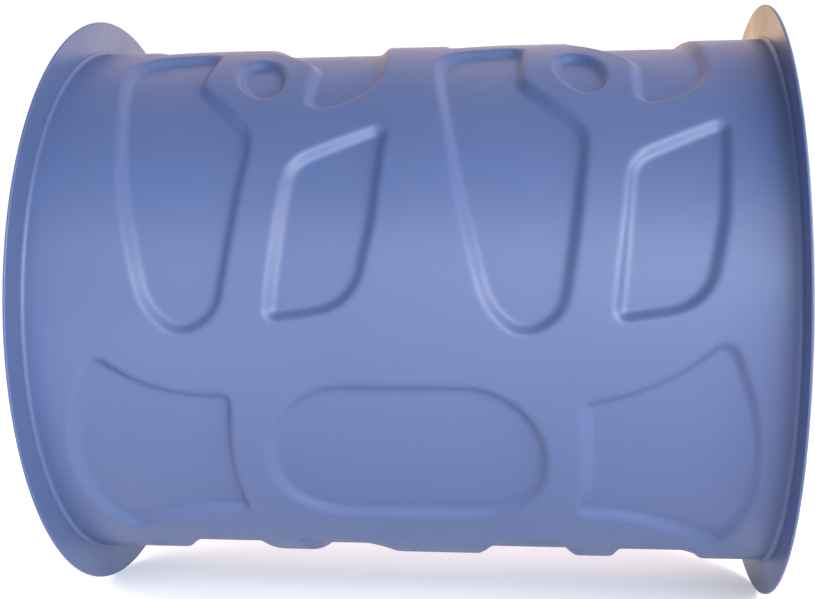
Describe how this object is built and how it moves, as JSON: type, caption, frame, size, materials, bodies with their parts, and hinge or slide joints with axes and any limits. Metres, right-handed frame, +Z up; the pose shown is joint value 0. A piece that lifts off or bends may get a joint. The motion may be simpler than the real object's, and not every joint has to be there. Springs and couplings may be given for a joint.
{
  "type": "rock tumbler barrel",
  "caption": "Horizontal drum with pressed panels and a flange at each end, rubber lined, closed by a screw-clamped lid sunk in its end.",
  "frame": {"origin": "middle of the drum on its axis", "axes": "+X along the drum axis towards the lid end, +Z up, -Y towards the panel side seen from the front"},
  "size_m": [0.258, 0.2254, 0.2254],
  "materials": {
    "shell_paint": "satin blue powder coat",
    "liner_rubber": "matt moulded black rubber",
    "seal_rubber": "matt black rubber",
    "lid_steel": "zinc plated, lightly brushed",
    "fastener_steel": "bright zinc plate",
    "knob_plastic": "fine textured black phenolic",
    "insert_brass": "turned brass",
    "cap_plastic": "satin blue"
  },
  "bodies": {
    "barrel": {"barrel_shell": "shell_paint", "rear_flange": "shell_paint", "rear_cup": "shell_paint", "front_flange": "shell_paint", "lid_collar": "shell_paint", "mouth_ring": "shell_paint", "rubber_liner": "liner_rubber"},
    "inner_lid": {"inner_lid_plate": "lid_steel", "inner_lid_facing": "seal_rubber", "lid_bolt": "fastener_steel", "bolt_o_ring": "seal_rubber", "bolt_lock_washer": "fastener_steel", "bolt_lock_nut": "fastener_steel", "lid_seal": "seal_rubber"},
    "outer_lid": {"outer_lid": "shell_paint", "lid_edge_trim": "seal_rubber", "lid_doubler": "lid_steel", "lid_rivets": "fastener_steel"},
    "washers": {"seal_washer": "seal_rubber", "thrust_washer": "fastener_steel"},
    "knob": {"knob_body": "knob_plastic", "knob_insert": "insert_brass", "knob_cap": "cap_plastic"}
  },
  "joints": [
    {"name": "inner_lid_pull", "type": "slide", "parent": "barrel", "child": "inner_lid", "axis": [1, 0, 0], "range_m": [0, 0.09]},
    {"name": "outer_lid_lift", "type": "slide", "parent": "inner_lid", "child": "outer_lid", "axis": [1, 0, 0], "range_m": [0, 0.04]},
    {"name": "knob_travel", "type": "slide", "parent": "outer_lid", "child": "washers", "axis": [1, 0, 0], "range_m": [0, 0.012]},
    {"name": "knob_turn", "type": "hinge", "parent": "washers", "child": "knob", "pos_m": [0.1, 0, 0], "axis": [1, 0, 0], "range_deg": [0, 2880]}
  ],
  "couplings": [
    {"joint": "knob_travel", "follows": "knob_turn", "m_per_rad": 0.00023873}
  ]
}
